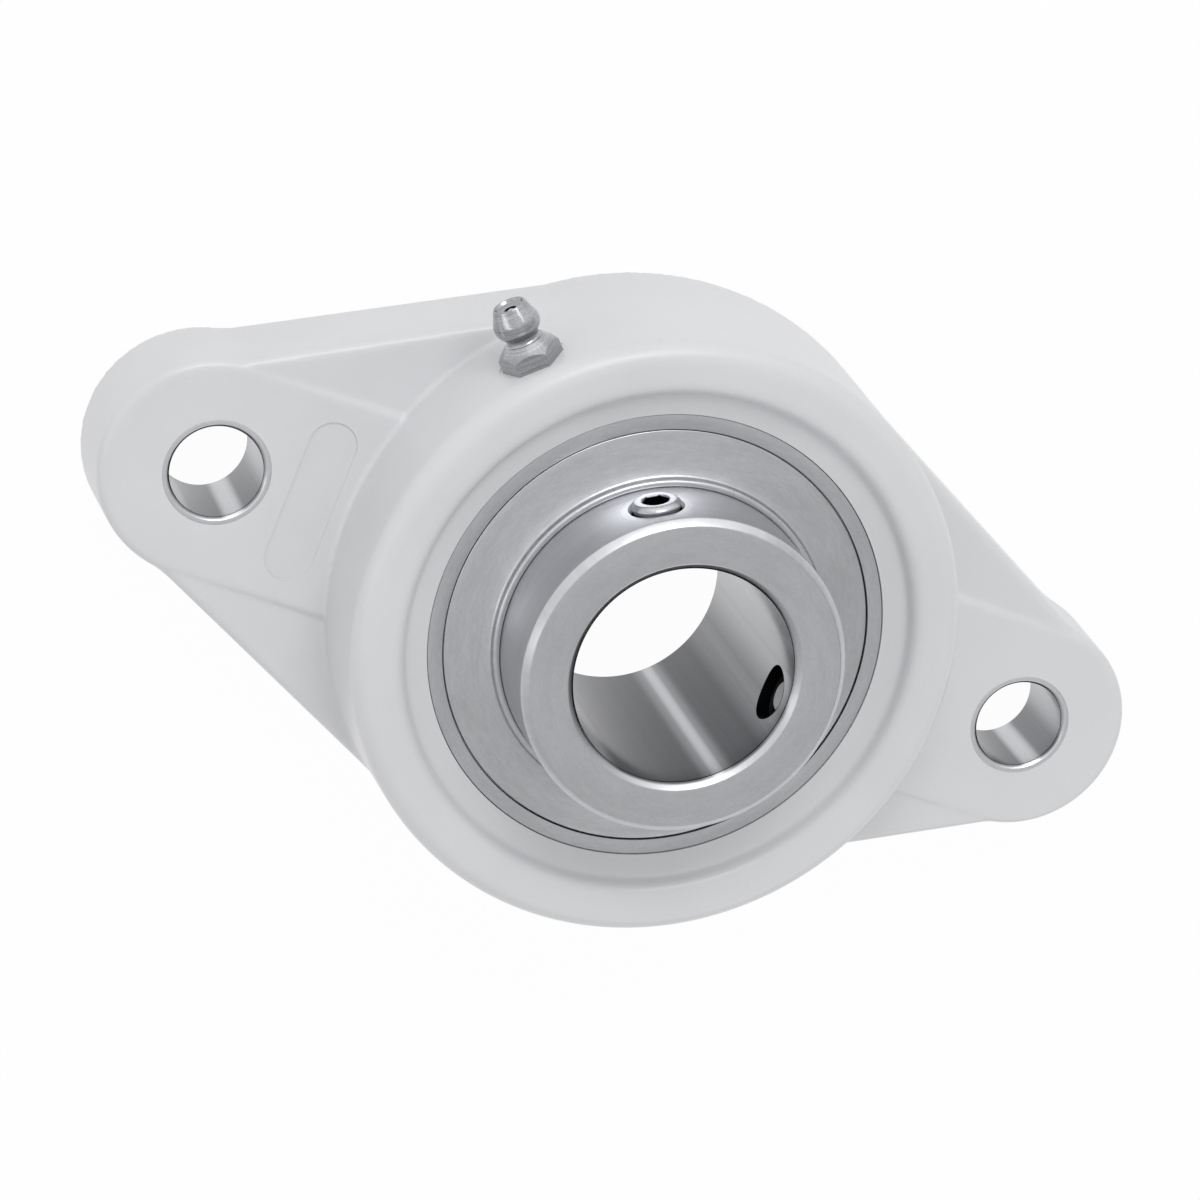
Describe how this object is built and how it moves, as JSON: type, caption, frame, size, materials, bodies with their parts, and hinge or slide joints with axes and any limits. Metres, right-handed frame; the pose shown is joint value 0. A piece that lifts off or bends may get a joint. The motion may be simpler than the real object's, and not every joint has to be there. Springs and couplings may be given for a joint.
{
  "type": "two-bolt flange bearing",
  "caption": "Oval two-bolt flange bearing unit: moulded housing with steel bolt sleeves and a self-aligning ball bearing insert held on its shaft by set screws.",
  "frame": {"origin": "middle of the mounting face, where the shaft axis meets it", "axes": "+X along the line of the two bolts, +Z along the shaft axis out of the housing, +Y across the bolt line"},
  "size_m": [0.148, 0.082, 0.0402],
  "materials": {
    "housing_plastic": "moulded satin",
    "sleeve_steel": "turned, polished bore",
    "ring_steel": "ground stainless",
    "flinger_steel": "pressed stainless sheet",
    "ball_steel": "polished",
    "cage_steel": "pressed strip",
    "seal_steel": "pressed sheet",
    "seal_rubber": "matt",
    "screw_steel": "machined",
    "nipple_steel": "plated, turned"
  },
  "bodies": {
    "housing": {"housing": "housing_plastic", "bolt_sleeve_left": "sleeve_steel", "bolt_sleeve_right": "sleeve_steel", "grease_nipple": "nipple_steel", "nipple_spring": "screw_steel"},
    "check_ball": {"nipple_check_ball": "ball_steel"},
    "ring_pin": {"anti_rotation_pin": "screw_steel"},
    "outer_ring": {"outer_ring": "ring_steel", "front_seal_case": "seal_steel", "front_seal_lip": "seal_rubber", "back_seal_case": "seal_steel", "back_seal_lip": "seal_rubber"},
    "inner_ring": {"inner_ring": "ring_steel", "front_flinger": "flinger_steel", "back_flinger": "flinger_steel"},
    "screw_a": {"set_screw_a": "screw_steel"},
    "screw_b": {"set_screw_b": "screw_steel"},
    "ball_set": {"balls": "ball_steel", "cage_front_half": "cage_steel", "cage_back_half": "cage_steel", "cage_rivets": "cage_steel"}
  },
  "joints": [
    {"name": "align_swing", "type": "hinge", "parent": "housing", "child": "ring_pin", "pos_m": [0, 0, 0.018], "axis": [0.7071, -0.7071, 0], "range_deg": [-2, 2]},
    {"name": "align_turn", "type": "hinge", "parent": "ring_pin", "child": "outer_ring", "pos_m": [0, 0, 0.018], "axis": [-0.6941, -0.6941, -0.1908], "range_deg": [-2, 2]},
    {"name": "shaft_spin", "type": "hinge", "parent": "outer_ring", "child": "inner_ring", "pos_m": [0, 0, 0.018], "axis": [0, 0, 1], "continuous": true},
    {"name": "cage_spin", "type": "hinge", "parent": "outer_ring", "child": "ball_set", "pos_m": [0, 0, 0.018], "axis": [0, 0, 1], "continuous": true},
    {"name": "set_screw_a_travel", "type": "slide", "parent": "inner_ring", "child": "screw_a", "axis": [-0.4848, 0.8746, 0], "range_m": [-0.0011, 0.003]},
    {"name": "set_screw_b_travel", "type": "slide", "parent": "inner_ring", "child": "screw_b", "axis": [0.9998, -0.0175, 0], "range_m": [-0.0011, 0.003]},
    {"name": "check_ball_travel", "type": "slide", "parent": "housing", "child": "check_ball", "axis": [-0.7071, 0.7071, 0], "range_m": [-0.0008, 0.0002], "stiffness_N_per_m": 60, "springref_m": 0.0002, "deforming": ["nipple_spring"]}
  ],
  "couplings": [
    {"joint": "cage_spin", "follows": "shaft_spin", "ratio": 0.39647}
  ]
}
